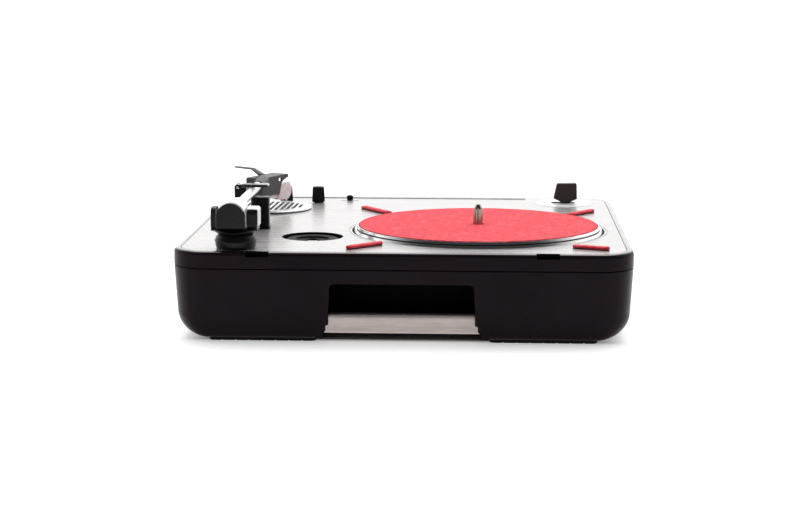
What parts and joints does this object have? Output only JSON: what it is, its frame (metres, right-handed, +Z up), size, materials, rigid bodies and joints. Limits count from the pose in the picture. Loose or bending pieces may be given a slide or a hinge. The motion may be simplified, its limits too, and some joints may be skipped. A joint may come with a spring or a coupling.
{
  "type": "suitcase record player",
  "caption": "Portable record player base with platter, felt slipmat, pivoting tonearm, built-in speaker, rotary controls, scratch switch and a carrying handle in its front wall.",
  "frame": {"origin": "middle of the base's footprint, at the level its feet rest on", "axes": "+Z up, +Y from the carrying handle towards the controls, +X from the tonearm side towards the platter side"},
  "size_m": [0.31, 0.3, 0.096],
  "materials": {
    "case_black": "satin",
    "black_plastic": "satin",
    "silver_deck": "brushed",
    "silver_plastic": "satin",
    "arm_metal": "satin",
    "handle_grey": "satin",
    "red_felt": "matte",
    "black_rubber": "matte",
    "steel": "satin",
    "chrome": "polished",
    "brass": "satin",
    "stylus_pink": "gloss",
    "paper_cone": "matte",
    "board_green": "satin",
    "white_plastic": "gloss",
    "red_plastic": "gloss"
  },
  "bodies": {
    "base_body": {"lower_case": "case_black", "upper_case": "case_black", "battery_door": "case_black", "platter_tray": "black_plastic", "battery_box": "black_plastic", "jack_panel": "black_plastic", "headphone_socket": "black_plastic", "power_inlet": "black_plastic", "adaptor_well": "black_plastic", "tonearm_base": "black_plastic", "armrest": "black_plastic", "scratch_switch": "black_plastic", "deck_plate": "silver_deck", "speaker_grille": "silver_plastic", "scratch_bezel": "silver_plastic", "handle_grip": "handle_grey", "record_pad_near_left": "red_felt", "record_pad_near_right": "red_felt", "record_pad_far_left": "red_felt", "record_pad_far_right": "red_felt", "foot_near_left": "black_rubber", "foot_near_right": "black_rubber", "foot_far_left": "black_rubber", "foot_far_right": "black_rubber", "drive_belt": "black_rubber", "case_screw_near_left": "steel", "case_screw_near_right": "steel", "case_screw_far_left": "steel", "case_screw_far_right": "steel", "speaker_frame": "steel", "speaker_magnet": "steel", "motor": "steel", "clip_pin": "steel", "spindle": "chrome", "speaker_cone": "paper_cone", "amplifier_board": "board_green", "control_board": "board_green", "rca_socket_white": "white_plastic", "rca_socket_red": "red_plastic"},
    "platter_body": {"platter": "silver_deck", "platter_bush": "brass"},
    "slipmat_body": {"slipmat": "red_felt"},
    "pulley_body": {"motor_pulley": "brass"},
    "yoke_body": {"tonearm_yoke": "black_plastic", "yoke_cover": "silver_plastic", "lift_axle": "steel", "swing_shaft": "steel"},
    "arm_body": {"arm_housing": "silver_plastic", "arm_tail_cap": "black_plastic", "arm_tube": "arm_metal", "headshell": "black_plastic", "finger_lift": "steel", "cartridge": "black_plastic", "stylus": "stylus_pink"},
    "clip_body": {"armrest_clip": "black_plastic"},
    "volume_body": {"volume_knob": "black_plastic"},
    "tone_body": {"tone_knob": "black_plastic"},
    "speed_body": {"speed_knob": "black_plastic"},
    "lever_body": {"scratch_lever": "black_plastic"},
    "adaptor_body": {"adaptor_45": "black_plastic"}
  },
  "joints": [
    {"name": "platter_spin", "type": "hinge", "parent": "base_body", "child": "platter_body", "pos_m": [0.05, -0.038, 0.06], "axis": [0, 0, 1], "continuous": true},
    {"name": "mat_slip", "type": "hinge", "parent": "platter_body", "child": "slipmat_body", "pos_m": [0.05, -0.038, 0.065], "axis": [0, 0, 1], "continuous": true},
    {"name": "pulley_spin", "type": "hinge", "parent": "base_body", "child": "pulley_body", "pos_m": [-0.017, -0.066, 0.057], "axis": [0, 0, 1], "continuous": true},
    {"name": "arm_swing", "type": "hinge", "parent": "base_body", "child": "yoke_body", "pos_m": [-0.1124, -0.131, 0.072], "axis": [0, 0, -1], "range_deg": [0, 42]},
    {"name": "arm_lift", "type": "hinge", "parent": "yoke_body", "child": "arm_body", "pos_m": [-0.1124, -0.131, 0.084], "axis": [1, 0, 0], "range_deg": [0, 10]},
    {"name": "clip_open", "type": "hinge", "parent": "base_body", "child": "clip_body", "pos_m": [-0.1224, -0.039, 0.0913], "axis": [0, -1, 0], "range_deg": [0, 100]},
    {"name": "volume_turn", "type": "hinge", "parent": "base_body", "child": "volume_body", "pos_m": [-0.103, 0.109, 0.068], "axis": [0, 0, 1], "range_deg": [-150, 150]},
    {"name": "tone_turn", "type": "hinge", "parent": "base_body", "child": "tone_body", "pos_m": [-0.0775, 0.107, 0.068], "axis": [0, 0, 1], "range_deg": [-150, 150]},
    {"name": "speed_slide", "type": "slide", "parent": "base_body", "child": "speed_body", "axis": [1, 0, 0], "range_m": [-0.005, 0.005]},
    {"name": "scratch_tilt", "type": "hinge", "parent": "base_body", "child": "lever_body", "pos_m": [0.1162, 0.107, 0.051], "axis": [0, 1, 0], "range_deg": [-16, 0]},
    {"name": "adaptor_lift", "type": "slide", "parent": "base_body", "child": "adaptor_body", "axis": [0, 0, 1], "range_m": [0, 0.028]}
  ],
  "couplings": [
    {"joint": "pulley_spin", "follows": "platter_spin", "ratio": 10.636},
    {"joint": "clip_open", "follows": "arm_lift", "ratio": 10}
  ]
}
